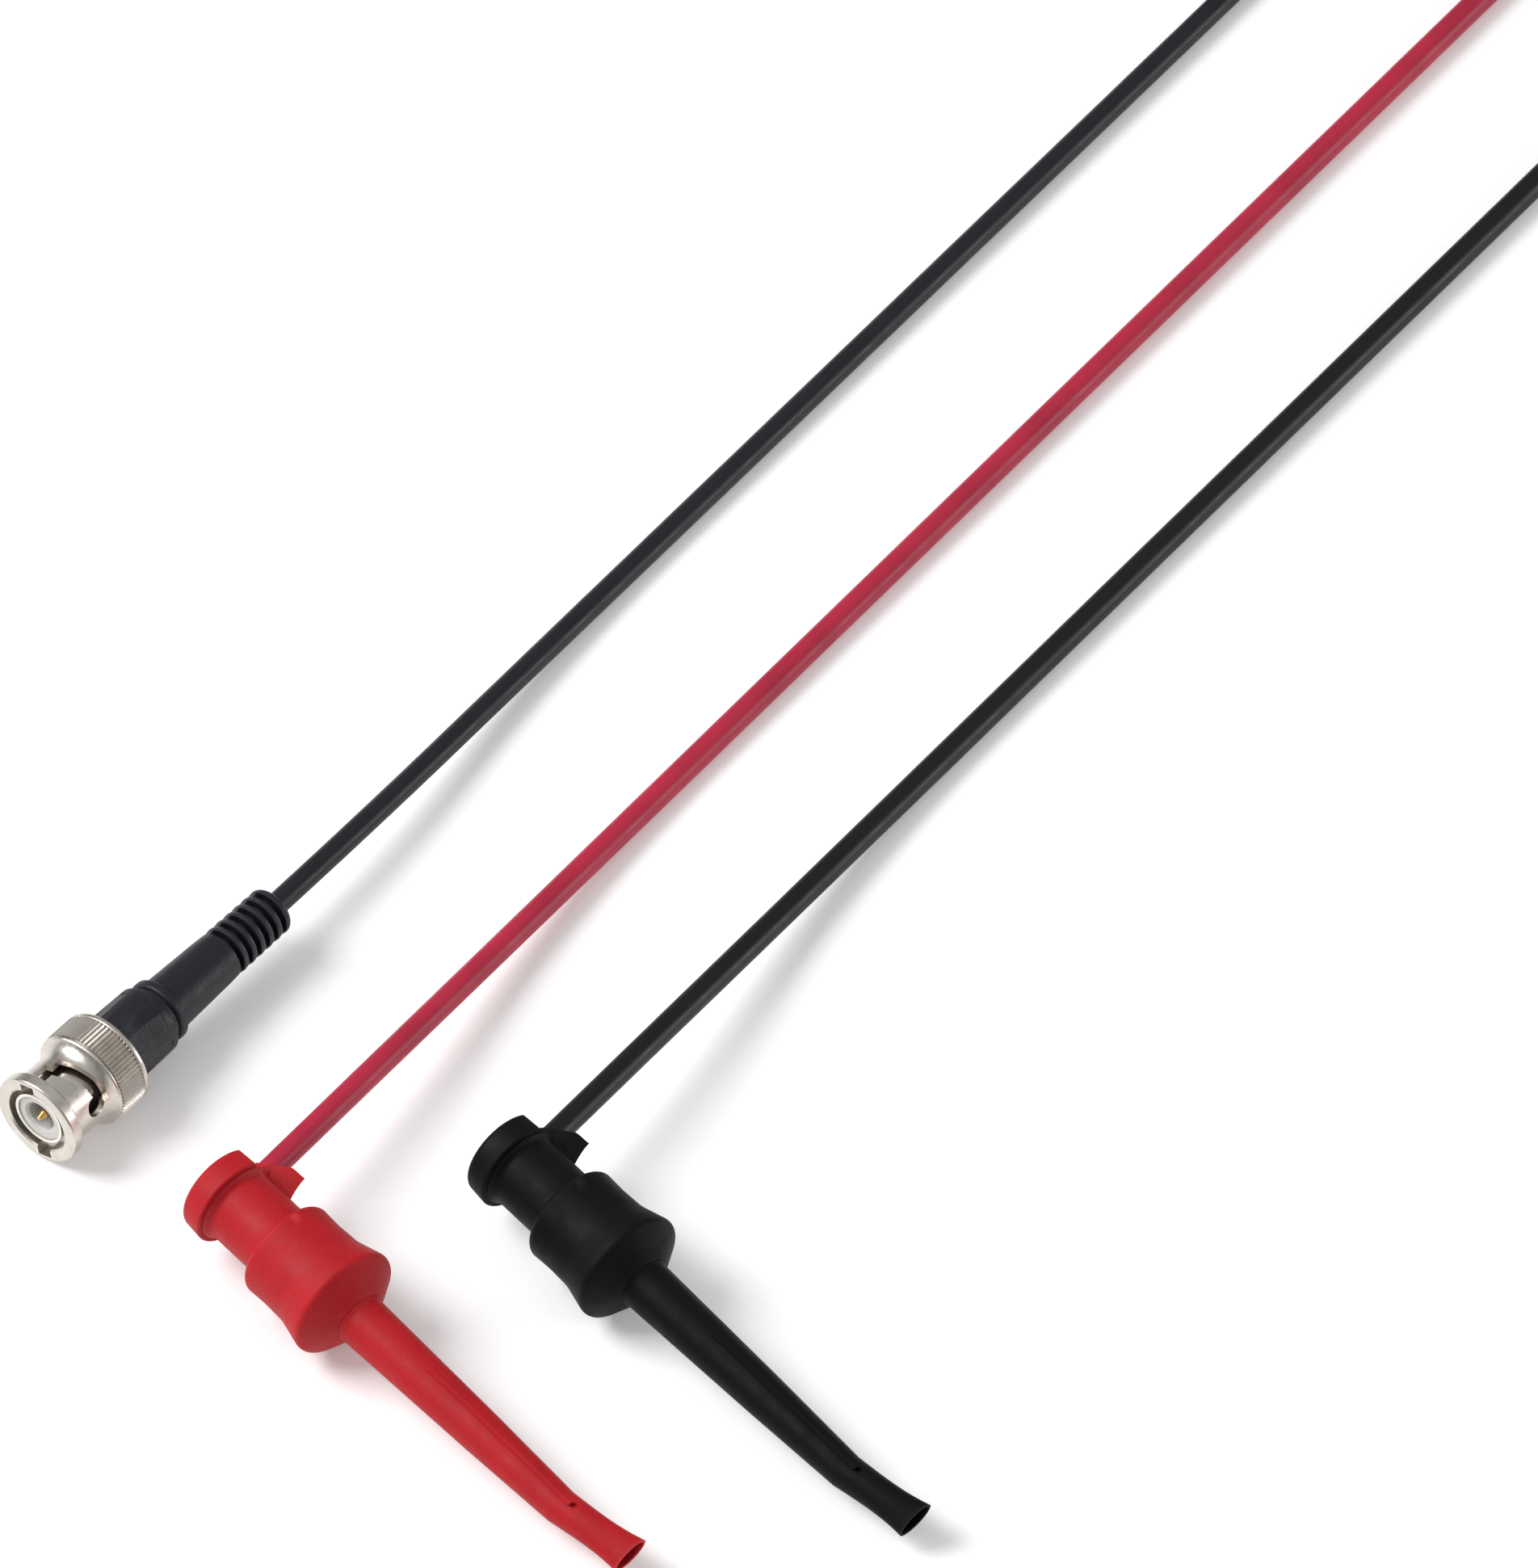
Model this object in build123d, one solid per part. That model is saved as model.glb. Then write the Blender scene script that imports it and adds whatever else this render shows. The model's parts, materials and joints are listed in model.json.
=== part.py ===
from build123d import *
import math
import os

# Oscilloscope test lead: a BNC plug on a coaxial cable, a splitter, and two spring hook clips.
# Millimetres. The origin is the centre of the plug's mouth. +X runs along the plug towards its
# cable and +Z is up. The lead lies on a bench whose surface is at BENCH.

KNURL_RADIUS = 7.25
BENCH = -KNURL_RADIUS

# Plug: bayonet coupling nut
NUT_BORE = 4.9
RIM_RADIUS = 6.83
RIM_LENGTH = 1.9
SLEEVE_RADIUS = 5.8
FLARE_START = 6.9
FLARE_MIDDLE = (8.5, 5.95)
LIP_START = 9.3
LIP_END = 9.7
LIP_RADIUS = 7.2
KNURL_START = 9.95
KNURL_END = 14.3
KNURL_ROOT = 6.85
KNURL_COUNT = 72
NUT_LENGTH = 15.2
NUT_TAIL_BORE = 4.72
SPRING_ROOM_RADIUS = 6.0
RING_GROOVE = (12.2, 12.95, 6.5)
SPRING_ROOM = (9.6, 13.5)
LUG_CHANNEL_WIDTH = 2.3
LUG_CHANNEL_DEPTH = 6.15
CAM_WIDTH_START = 3.3
CAM_WIDTH_TOP = 2.1
CAM_START_X = 5.0
CAM_TOP_X = 7.2
DETENT_X = 6.1
DETENT_RADIUS = 1.5
SLOT_START_ANGLE = -15.5
SLOT_TOP_ANGLE = 50.0
DETENT_ANGLE = 73.0
SLOT_STEP = 14.75

# Plug: contacts and crimp
CONTACT_FRONT = 0.6
CONTACT_RADIUS = 4.05
CONTACT_BORE = 3.6
CONTACT_END = 8.7
GASKET_SEAT_RADIUS = 3.86
FLANGE = (9.9, 10.7, 5.7)
TAIL_RADIUS = 4.5
TAIL_END = 16.4
CRIMP_STEM_RADIUS = 2.0
CRIMP_STEM_END = 22.0
STEM_BORE = 1.5
INSULATOR_FRONT = 0.85
INSULATOR_END = 13.1
INSULATOR_CUP = 2.2
INSULATOR_CUP_END = 6.4
PIN_RADIUS = 0.67
PIN_TIP = 0.5
PIN_POINT_END = 1.6
PIN_FRONT_END = 6.3
PIN_NECK_RADIUS = 0.5
PIN_SHOULDER = 7.0
PIN_REAR_RADIUS = 1.0

# Plug: grip moulding and strain relief
GRIP_START = 15.4
GRIP_END = 23.9
GRIP_FACETS = 8
BOOT_START = 24.4
BOOT_END = 49.5
BOOT_SLOTS = 6
BOOT_SLOT_FIRST = 38.9
BOOT_SLOT_PITCH = 1.77
BOOT_SLOT_WIDTH = 0.9
BOOT_SLOT_FACING = 36.5
BOOT_WEB = 2.1

# Cables
COAX_RADIUS = 1.625
LEAD_RADIUS = 1.75
COAX_START = 23.4
COAX_FLOOR = BENCH + COAX_RADIUS
LEAD_FLOOR = BENCH + LEAD_RADIUS

# Hook clips: distances run from the barrel's rear edge towards the tip
CLIP_TURN = -98.35
CLIP_DIP = 4.5
RED_CLIP_PLACE = (3.04, -41.0)
BLACK_CLIP_PLACE = (32.35, -66.25)
FLANGE_RADIUS = 8.41
FLANGE_AT = 12.5
BARREL_RADIUS = 7.38
BARREL_BORE = 5.4
BARREL_FLOOR = 9.5
BARREL_END = 15.65
SPIGOT_BORE = 3.02
NECK_RADIUS = 5.34
CAP_REAR = -13.4
CAP_FRONT = -9.5
CAP_RADIUS = 6.8
CAP_REAR_RADIUS = 6.45
CAP_FLAT = 3.2
CAP_SPIGOT_RADIUS = 3.0
CAP_SPIGOT_END = -8.0
HOOD_TOP = 2.4
HOOD_BOTTOM = -2.6
HOOD_INNER = 3.3
HOOD_END_CORNER = (-5.5, 8.75, 2.2)
HOOD_END_FACING = (1, 0.63, -0.6)
SCOOP_RADIUS = 3.0
SCOOP_SIDE = 5.9
SCOOP_SLOPE = 0.567
BARREL_TRAVEL_ROOM = -5.3
PLUNGER_WEB = (-4.5, -3.0)
SPRING_POCKET = 3.3
CHAMBER_RADIUS = 3.05
BEAK_BEND = 56.5
BEAK_LENGTH = 12.4
BEAK_TURN = 7.0
BEAK_SIDE = 25.0
RIDGE_START = 29.0
RIDGE_END = 58.3
RIDGE_WIDTH = 0.8
RIDGE_SIDE = 94.0
STEM_BORE_RADIUS = 0.9
ROD_RADIUS = 0.6
HOOK_WIRE_RADIUS = 0.4
LEAD_AT = -10.8
LEAD_SIDE = 8.0
LEAD_RISE = 0.25
LEAD_HEADING = 2.09

# Splitter and coil, which lie beyond the far end of the straight cables
SPLITTER_START = 326.0
SPLITTER_END = 354.5
SPLITTER_Y = -30.0
SPLITTER_WIDTH = 16.0
SPLITTER_HEIGHT = 8.0
SPLITTER_MIDDLE = BENCH + SPLITTER_HEIGHT / 2
PORT_OFFSET = 4.0
PORT_CLEARANCE = 0.3
COIL_X = 288.0
COIL_Y = 29.8
COIL_OUTER_TURN = 19.2
COIL_INNER_TURN = 15.9
COIL_LIFT = 0.5
COIL_MARGIN = 0.15

# Cable routes. The coax runs straight from the plug, down to the bench and on to its coil.
COAX_ROUTE = [
    (COAX_START, 0, 0),
    (60, 0, 0),
    (113.7, 4.9, COAX_FLOOR),
    (COIL_X, COIL_Y - COIL_OUTER_TURN, COAX_FLOOR + 0.1),
]
TAIL_ROUTE = [
    (COIL_X, COIL_Y - COIL_OUTER_TURN, -1.8),
    (309, 10.8, -4.0),
    (330, 10.3, COAX_FLOOR),
    (366.3, 10, COAX_FLOOR),
    (378, -1.7, COAX_FLOOR),
    (378, -18.3, COAX_FLOOR),
    (366.3, SPLITTER_Y, -4.2),
    (SPLITTER_END - 3, SPLITTER_Y, SPLITTER_MIDDLE),
]
RED_ROUTE_END = [
    (82.3, -24.4, LEAD_FLOOR),
    (300, -16.4, LEAD_FLOOR),
    (314, -24.6, LEAD_FLOOR + 1.2),
    (SPLITTER_START + 3, SPLITTER_Y + PORT_OFFSET, SPLITTER_MIDDLE),
]
BLACK_ROUTE_END = [
    (111.6, -49.7, LEAD_FLOOR),
    (300, -42.8, LEAD_FLOOR),
    (314, -35.4, LEAD_FLOOR + 1.2),
    (SPLITTER_START + 3, SPLITTER_Y - PORT_OFFSET, SPLITTER_MIDDLE),
]


def rounded_outline(outline, rounds):
    """Join (x, radius) points with lines, and with a tangent arc at each (point, radius) of rounds."""
    points = [Vector(*point) for point in outline]
    radii = dict(rounds)
    edges = []
    arrivals = []
    departures = []
    for index, corner in enumerate(points):
        arriving = (corner - points[index - 1]).normalized()
        leaving = (points[(index + 1) % len(points)] - corner).normalized()
        radius = radii.get(index)
        if radius is None:
            arrivals.append(corner)
            departures.append(corner)
            continue
        half_turn = math.radians(arriving.get_angle(leaving) / 2)
        reach = radius * math.tan(half_turn)
        start = corner - arriving * reach
        end = corner + leaving * reach
        sagitta = radius / math.cos(half_turn) - radius
        middle = corner + (leaving - arriving).normalized() * sagitta
        edges.append(ThreePointArc(start, middle, end))
        arrivals.append(start)
        departures.append(end)
    for index, end in enumerate(arrivals):
        edges.append(Line(departures[index - 1], end))
    return make_face(edges)


def turned(outline, rounds=()):
    """Turn a closed outline of (x, radius) points about X. rounds lists (point, arc radius)."""
    return revolve(rounded_outline(outline, rounds), Axis.X)


def tube(start, end, outer, inner=0.0):
    """A round tube or rod along X."""
    return turned([(start, inner), (start, outer), (end, outer), (end, inner)])


def block(low, high):
    """A box between two corners."""
    size = [high[i] - low[i] for i in range(3)]
    middle = [(high[i] + low[i]) / 2 for i in range(3)]
    return Pos(*middle) * Box(*size)


def round_bar(points, radius, radii=None):
    """A round bar along straight runs, with tangent arcs where radii are given."""
    path = Polyline(*points) if radii is None else FilletPolyline(*points, radius=radii)
    start = Plane(origin=path @ 0, z_dir=path % 0)
    return sweep(start * Circle(radius), path=path)


def corner_radii(points):
    """Each corner's arc radius: 0.45 of its shorter run over the tangent of half the turn."""
    radii = []
    for before, corner, after in zip(points, points[1:], points[2:]):
        arriving = Vector(*corner) - Vector(*before)
        leaving = Vector(*after) - Vector(*corner)
        half_turn = math.radians(arriving.get_angle(leaving) / 2)
        radii.append(0.45 * min(arriving.length, leaving.length) / math.tan(half_turn))
    return radii


def cable(name, points, radius):
    """A cable's jacket along its route. Prints its radii and compares volume with length."""
    radii = corner_radii(points)
    path = FilletPolyline(*points, radius=radii)
    start = Plane(origin=path @ 0, z_dir=path % 0)
    jacket = sweep(start * Circle(radius), path=path)
    expected = path.length * math.pi * radius**2
    print(name, "length", round(path.length, 1), "radii", [round(r, 1) for r in radii])
    print(name, "volume over section times length", round(jacket.volume / expected, 4))
    return jacket


def turned_about_x(shape, degrees):
    """Turn a shape about X. Positive angles turn +Z towards -Y."""
    return Rotation(degrees, 0, 0) * shape


# Plug ---------------------------------------------------------------------------------


def knurl_ring():
    """The straight knurl: a ring with KNURL_COUNT pointed ridges along X."""
    corners = []
    for tooth in range(KNURL_COUNT):
        for half, radius in ((0, KNURL_RADIUS), (1, KNURL_ROOT + 0.03)):
            angle = math.tau * (tooth + half / 2) / KNURL_COUNT
            corners.append((radius * math.cos(angle), radius * math.sin(angle)))
    section = make_face(Polyline(*corners, close=True)) - Circle(KNURL_ROOT - 0.25)
    ring = extrude(section, KNURL_END - KNURL_START)
    return Pos(KNURL_START, 0, 0) * (Rotation(0, 90, 0) * ring)


def cam_section(angle):
    """The cam slot's cut face at one angle round the nut."""
    share = min(1.0, (angle - SLOT_START_ANGLE) / (SLOT_TOP_ANGLE - SLOT_START_ANGLE))
    along = CAM_START_X + (CAM_TOP_X - CAM_START_X) * share
    width = CAM_WIDTH_START + (CAM_WIDTH_TOP - CAM_WIDTH_START) * share
    middle = Plane(origin=(along, 0, SLEEVE_RADIUS), x_dir=(1, 0, 0), z_dir=(0, 1, 0))
    return turned_about_x(middle * Rectangle(width, 4), angle)


def lug_path():
    """One bayonet slot: the entry channel, the rising cam slot and the round detent."""
    side = LUG_CHANNEL_WIDTH / 2
    channel = block((-1, -side, 3.5), (CAM_START_X, side, LUG_CHANNEL_DEPTH))
    steps = round((DETENT_ANGLE - SLOT_START_ANGLE) / SLOT_STEP)
    cam = loft([cam_section(SLOT_START_ANGLE + step * SLOT_STEP) for step in range(steps + 1)], ruled=True)
    channel = turned_about_x(channel, SLOT_START_ANGLE)
    detent = turned_about_x(Pos(DETENT_X, 0, SLEEVE_RADIUS) * Cylinder(DETENT_RADIUS, 4), DETENT_ANGLE)
    return cam + channel + detent


def coupling_nut():
    """The bayonet coupling nut, with its knurl, cam slots and inner ring groove."""
    groove_start, groove_end, groove_radius = RING_GROOVE
    room_start, room_end = SPRING_ROOM
    groove_floor = KNURL_ROOT - 0.1
    outline = [
        (0, NUT_BORE + 0.25),
        (0, RIM_RADIUS),
        (RIM_LENGTH, RIM_RADIUS),
        (RIM_LENGTH + 0.15, SLEEVE_RADIUS),
        (FLARE_START, SLEEVE_RADIUS),
        FLARE_MIDDLE,
        (LIP_START, LIP_RADIUS),
        (LIP_END, LIP_RADIUS),
        (LIP_END + 0.05, groove_floor),
        (KNURL_START, groove_floor),
        (KNURL_START, KNURL_ROOT),
        (KNURL_END, KNURL_ROOT),
        (KNURL_END, KNURL_RADIUS),
        (NUT_LENGTH, KNURL_RADIUS),
        (NUT_LENGTH, NUT_TAIL_BORE),
        (room_end, NUT_TAIL_BORE),
        (room_end, SPRING_ROOM_RADIUS),
        (groove_end, SPRING_ROOM_RADIUS),
        (groove_end, groove_radius),
        (groove_start, groove_radius),
        (groove_start, SPRING_ROOM_RADIUS),
        (room_start, SPRING_ROOM_RADIUS),
        (room_start, NUT_BORE),
        (0.25, NUT_BORE),
    ]
    rounds = [(1, 0.35), (2, 0.3), (4, 2.0), (5, 2.6), (6, 0.35), (7, 0.15), (12, 0.2), (13, 0.5)]
    nut = turned(outline, rounds) + knurl_ring()
    slot = lug_path()
    return nut - slot - turned_about_x(slot, 180)


def contact_body():
    """Outer contact tube, flange, tail and the crimp stem behind it, in one turned piece."""
    flange_start, flange_end, flange_radius = FLANGE
    return turned(
        [
            (CONTACT_FRONT, CONTACT_BORE),
            (CONTACT_FRONT, CONTACT_RADIUS),
            (CONTACT_END, CONTACT_RADIUS),
            (CONTACT_END, GASKET_SEAT_RADIUS),
            (flange_start, GASKET_SEAT_RADIUS),
            (flange_start, flange_radius),
            (flange_end, flange_radius),
            (flange_end, TAIL_RADIUS),
            (TAIL_END, TAIL_RADIUS),
            (TAIL_END, CRIMP_STEM_RADIUS),
            (CRIMP_STEM_END, CRIMP_STEM_RADIUS),
            (CRIMP_STEM_END, STEM_BORE),
            (INSULATOR_END + 0.05, STEM_BORE),
            (INSULATOR_END + 0.05, CONTACT_BORE),
        ]
    )


def insulator():
    """The insulator between the outer contact and the centre pin, cupped at the front."""
    return turned(
        [
            (INSULATOR_FRONT, INSULATOR_CUP + 0.35),
            (INSULATOR_FRONT, CONTACT_BORE - 0.03),
            (INSULATOR_END, CONTACT_BORE - 0.03),
            (INSULATOR_END, PIN_REAR_RADIUS + 0.01),
            (PIN_SHOULDER, PIN_REAR_RADIUS + 0.01),
            (PIN_SHOULDER, PIN_NECK_RADIUS + 0.01),
            (INSULATOR_CUP_END, PIN_NECK_RADIUS + 0.01),
            (INSULATOR_CUP_END, INSULATOR_CUP),
            (INSULATOR_FRONT + 0.4, INSULATOR_CUP),
        ]
    )


def centre_pin():
    """The centre contact: a pointed pin with a hollow crimp end."""
    return turned(
        [
            (PIN_TIP, 0),
            (PIN_TIP + 0.05, 0.22),
            (PIN_POINT_END, PIN_RADIUS),
            (PIN_FRONT_END, PIN_RADIUS),
            (PIN_FRONT_END, PIN_NECK_RADIUS),
            (PIN_SHOULDER, PIN_NECK_RADIUS),
            (PIN_SHOULDER + 0.02, PIN_REAR_RADIUS),
            (INSULATOR_END - 0.05, PIN_REAR_RADIUS),
            (INSULATOR_END - 0.05, 0.33),
            (9.4, 0.33),
            (9.4, 0),
        ]
    )


def retaining_ring():
    """The split ring that holds the coupling nut on."""
    start, end, outer = RING_GROOVE
    ring = tube(start + 0.05, end - 0.05, outer - 0.05, 5.0)
    return ring - block((start - 1, -0.8, -8), (end + 1, 0.8, 0))


def spring_washer():
    """A dished spring washer between the flange and the thrust washer."""
    return turned([(10.75, 4.6), (11.45, 5.75), (11.75, 5.75), (11.05, 4.6)])


def grip():
    """The moulded grip behind the nut, with shallow finger facets."""
    body = turned(
        [
            (GRIP_START, TAIL_RADIUS + 0.02),
            (GRIP_START, 5.38),
            (GRIP_END, 5.18),
            (GRIP_END, 4.4),
            (BOOT_START - 0.02, 4.4),
            (BOOT_START - 0.02, 3.34),
            (TAIL_END + 0.1, 3.34),
            (TAIL_END + 0.1, TAIL_RADIUS + 0.02),
        ],
        [(1, 0.25), (2, 0.5)],
    )
    facet = fillet(Rectangle(6.6, 2.7).vertices(), 0.6)
    facet = Pos(19.2, 0, 5.12) * extrude(facet, 1)
    return body - [turned_about_x(facet, 360 * i / GRIP_FACETS) for i in range(GRIP_FACETS)]


def boot():
    """The flexible strain relief: a bead, a tapered barrel and six levels of flex slots."""
    outline = [(BOOT_START, 3.34), (BOOT_START, 4.3), (24.85, 4.3), (24.95, 4.75)]
    outline += [(26.4, 4.75), (26.45, 4.07), (37, 3.69)]
    for level in range(BOOT_SLOTS):
        middle = BOOT_SLOT_FIRST + level * BOOT_SLOT_PITCH
        radius = 3.62 - 0.02 * level
        outline.append((middle - 0.45, radius - 0.04))
        outline.append((middle, radius - 0.22))
        outline.append((middle + 0.45, radius - 0.04))
        outline.append((middle + BOOT_SLOT_PITCH / 2, radius + 0.02))
    last = len(outline)
    outline += [(BOOT_END, 3.42), (BOOT_END, COAX_RADIUS + 0.07)]
    outline += [(27, COAX_RADIUS + 0.07), (27, 3.34)]
    body = turned(outline, [(3, 0.5), (4, 0.5), (5, 0.15), (last, 1.0)])
    slots = []
    for level in range(BOOT_SLOTS):
        middle = BOOT_SLOT_FIRST + level * BOOT_SLOT_PITCH
        low = middle - BOOT_SLOT_WIDTH / 2
        high = middle + BOOT_SLOT_WIDTH / 2
        ring = tube(low, high, 5.0, 2.35)
        web = block((low - 1, -6, -BOOT_WEB / 2), (high + 1, 6, BOOT_WEB / 2))
        slots.append(ring - turned_about_x(web, BOOT_SLOT_FACING))
    return body - slots


def plug_parts():
    """Every piece of the plug, by node name."""
    return {
        "coupling_nut": coupling_nut(),
        "retaining_ring": retaining_ring(),
        "thrust_washer": tube(11.8, 12.2, 5.9, 4.6),
        "spring_washer": spring_washer(),
        "face_gasket": tube(8.95, 9.85, 4.8, GASKET_SEAT_RADIUS + 0.02),
        "contact_body": contact_body(),
        "insulator": insulator(),
        "centre_pin": centre_pin(),
        "crimp_ferrule": tube(TAIL_END + 0.15, 26.6, 3.3, 2.75),
        "coax_braid_end": tube(17, 23.2, 2.7, CRIMP_STEM_RADIUS + 0.02),
        "coax_dielectric_end": tube(INSULATOR_END + 0.2, COAX_START - 0.02, 1.2, 0.3),
        "coax_conductor_end": tube(9.5, COAX_START - 0.02, 0.28),
        "grip": grip(),
        "strain_relief_boot": boot(),
    }


# Hook clip, in its own frame: X towards the tip, Y to the lead's side, Z up -----------


def clip_plane(place):
    """The clip's frame: its flange rests on the bench and its tip dips towards it."""
    dip = math.radians(CLIP_DIP)
    turn = math.radians(CLIP_TURN)
    along = Vector(math.cos(turn) * math.cos(dip), math.sin(turn) * math.cos(dip), -math.sin(dip))
    side = Vector(-math.sin(turn), math.cos(turn), 0)
    height = BENCH + FLANGE_RADIUS * math.cos(dip) + FLANGE_AT * math.sin(dip)
    return Plane(origin=(*place, height), x_dir=along, z_dir=along.cross(side))


def lead_start(plane, inward=0.0):
    """A point on the lead's axis beside the clip, moved in from the boss by inward."""
    heading = math.radians(LEAD_HEADING)
    mouth = plane.from_local_coords(Vector(LEAD_AT, LEAD_SIDE, LEAD_RISE))
    return mouth - Vector(math.cos(heading), math.sin(heading), 0) * inward


def local_lead_line(plane):
    """The lead's axis near the boss, in the clip's frame: its inner end and a far point."""
    inner = plane.to_local_coords(lead_start(plane, 5.1))
    outer = plane.to_local_coords(lead_start(plane, -8))
    return inner, outer


def conductor_points(plane):
    """The bare conductor from the lead's inner end to the terminal."""
    inner, _ = local_lead_line(plane)
    return [tuple(inner), (-7.2, 0.4, 0)]


def clip_cap(plane):
    """The press-on cap, with a flat on the lead's side and a short spigot."""
    outline = [
        (CAP_REAR, 0),
        (CAP_REAR, CAP_REAR_RADIUS),
        (CAP_FRONT, CAP_RADIUS),
        (CAP_FRONT, CAP_SPIGOT_RADIUS),
        (CAP_SPIGOT_END, CAP_SPIGOT_RADIUS),
        (CAP_SPIGOT_END, 0),
    ]
    body = turned(outline, [(1, 0.9), (2, 0.35)])
    body -= block((CAP_REAR - 1, CAP_FLAT, -9), (CAP_FRONT + 0.01, 9, 9))
    inner, outer = local_lead_line(plane)
    body -= round_bar([tuple(inner), tuple(outer)], LEAD_RADIUS + 0.06)
    wire = conductor_points(plane)
    return body - round_bar(wire, 0.85) - Pos(*wire[0]) * Sphere(1.2)


def clip_hood():
    """The boss over the lead: a visor with a scooped top and an undercut end."""
    outline = [
        (-3, HOOD_INNER),
        (-3, 9),
        (-5.5, 8.78),
        (-7.9, 8.45),
        (-9.4, 7.4),
        (-10.6, 6.35),
        (-11.6, 5.3),
        (-11.6, HOOD_INNER),
    ]
    height = HOOD_TOP - HOOD_BOTTOM
    hood = Pos(0, 0, HOOD_BOTTOM) * extrude(make_face(Polyline(*outline, close=True)), height)
    end_cut = Plane(origin=HOOD_END_CORNER, z_dir=HOOD_END_FACING) * (Pos(0, 0, 10) * Box(30, 30, 20))
    front = SCOOP_RADIUS - 0.25
    scoop_ends = [
        (-2.5, SCOOP_SIDE, front - 2.5 * SCOOP_SLOPE),
        (-12, SCOOP_SIDE, front + 7 * SCOOP_SLOPE),
    ]
    hood = hood - end_cut - round_bar(scoop_ends, SCOOP_RADIUS)
    return hood - tube(BARREL_TRAVEL_ROOM, 1, 12, NECK_RADIUS) - tube(-14, 0, CHAMBER_RADIUS + 0.6)


def clip_plunger(plane):
    """The sliding plunger: a neck, the hood that the lead comes out of, and a spring pocket."""
    web_rear, web_front = PLUNGER_WEB
    rear = CAP_FRONT + 0.05
    neck = turned(
        [
            (rear, CHAMBER_RADIUS),
            (rear, 6.0),
            (-8.7, NECK_RADIUS),
            (3.5, NECK_RADIUS),
            (4.0, NECK_RADIUS - 0.5),
            (4.0, SPRING_POCKET),
            (web_front, SPRING_POCKET),
            (web_front, ROD_RADIUS),
            (web_rear, ROD_RADIUS),
            (web_rear, CHAMBER_RADIUS),
        ],
        [(2, 1.0)],
    )
    inner, outer = local_lead_line(plane)
    passage = round_bar([tuple(inner), tuple(outer)], LEAD_RADIUS + 0.06)
    wire = conductor_points(plane)
    body = neck + clip_hood()
    body = body - passage - round_bar(wire, 0.85) - Pos(*wire[0]) * Sphere(1.2)
    return max(body.solids(), key=lambda solid: solid.volume)


def clip_barrel():
    """The barrel with its finger flange and the cone in front that the nozzle leaves by."""
    return turned(
        [
            (0, BARREL_BORE),
            (0, BARREL_RADIUS),
            (4.0, BARREL_RADIUS - 0.16),
            (7.8, BARREL_RADIUS - 0.02),
            (11.9, FLANGE_RADIUS),
            (12.6, FLANGE_RADIUS),
            (BARREL_END, 4.05),
            (BARREL_END, SPIGOT_BORE),
            (BARREL_FLOOR, SPIGOT_BORE),
            (BARREL_FLOOR, BARREL_BORE),
        ],
        [(1, 1.0), (2, 9.0), (3, 6.0), (4, 1.2), (5, 0.9)],
    )


def beak_section(share, width, height):
    """An oval section of the beak, part of the way along its turned-out centre line."""
    along = share * BEAK_LENGTH
    sideways = along * math.tan(math.radians(BEAK_TURN))
    place = Plane(origin=(BEAK_BEND + along, sideways, 0), x_dir=(0, 1, 0), z_dir=(1, 0, 0))
    return place * Ellipse(width, height)


def clip_nozzle():
    """The tapered nozzle tube with its top ridge, and the bent beak with an oval mouth."""
    stem = turned(
        [
            (9.55, STEM_BORE_RADIUS),
            (9.55, 3.0),
            (BARREL_END + 0.02, 3.0),
            (BARREL_END + 0.02, 3.95),
            (16.3, 3.68),
            (40.3, 3.1),
            (BEAK_BEND, 2.56),
            (BEAK_BEND, STEM_BORE_RADIUS),
        ],
        [(4, 1.5), (5, 60.0)],
    )
    ridge_points = [
        (RIDGE_START, 3.0),
        (RIDGE_START + 1, 3.6),
        (40.3, 3.34),
        (BEAK_BEND, 2.82),
        (RIDGE_END, 2.72),
        (RIDGE_END, 2.2),
    ]
    ridge = extrude(make_face(Polyline(*ridge_points, close=True)), RIDGE_WIDTH)
    ridge = Rotation(RIDGE_SIDE, 0, 0) * (Pos(0, 0, -RIDGE_WIDTH / 2) * ridge)
    notch = block((RIDGE_END + 0.1, -0.35, 2.15), (RIDGE_END + 0.9, 0.5, 3.2))
    outside = [(0, 2.56, 2.56), (0.35, 2.42, 2.3), (0.72, 2.5, 1.85), (1.0, 2.9, 1.45)]
    inside = [(0.1, 1.3, 0.8), (0.5, 1.95, 0.85), (1.05, 2.55, 1.14)]
    beak = loft([beak_section(*section) for section in outside])
    mouth = loft([beak_section(*section) for section in inside])
    beak = Rotation(BEAK_SIDE, 0, 0) * (beak - mouth - tube(50, 58, STEM_BORE_RADIUS))
    return stem + ridge + beak - notch


def clip_hook():
    """The sliding rod with a hook bent at its end, resting just inside the beak."""
    rod = tube(-6.0, 57.0, ROD_RADIUS)
    rod += turned([(57.0, 0), (57.0, ROD_RADIUS), (58.0, HOOK_WIRE_RADIUS), (58.0, 0)])
    shank = Line((58.0, 0.0), (66.6, 0.25))
    bend = ThreePointArc((66.6, 0.25), (67.95, 1.4), (66.8, 2.6))
    point = Line((66.8, 2.6), (65.3, 2.45))
    path = Wire([shank, bend, point])
    start = Plane(origin=path @ 0, z_dir=path % 0)
    hook = sweep(start * Circle(HOOK_WIRE_RADIUS), path=path, transition=Transition.ROUND)
    return rod + Rotation(BEAK_SIDE, 0, 0) * hook


def clip_spring():
    """The return spring between the plunger's web and the barrel's floor."""
    wire = 0.3
    low = PLUNGER_WEB[1] + wire + 0.05
    height = BARREL_FLOOR - wire - 0.05 - low
    helix = Helix(pitch=height / 9, height=height, radius=2.4)
    start = Plane(origin=helix @ 0, z_dir=helix % 0)
    coil = sweep(start * Circle(wire), path=helix, is_frenet=True)
    return Pos(low, 0, 0) * (Rotation(0, 90, 0) * coil)


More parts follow.
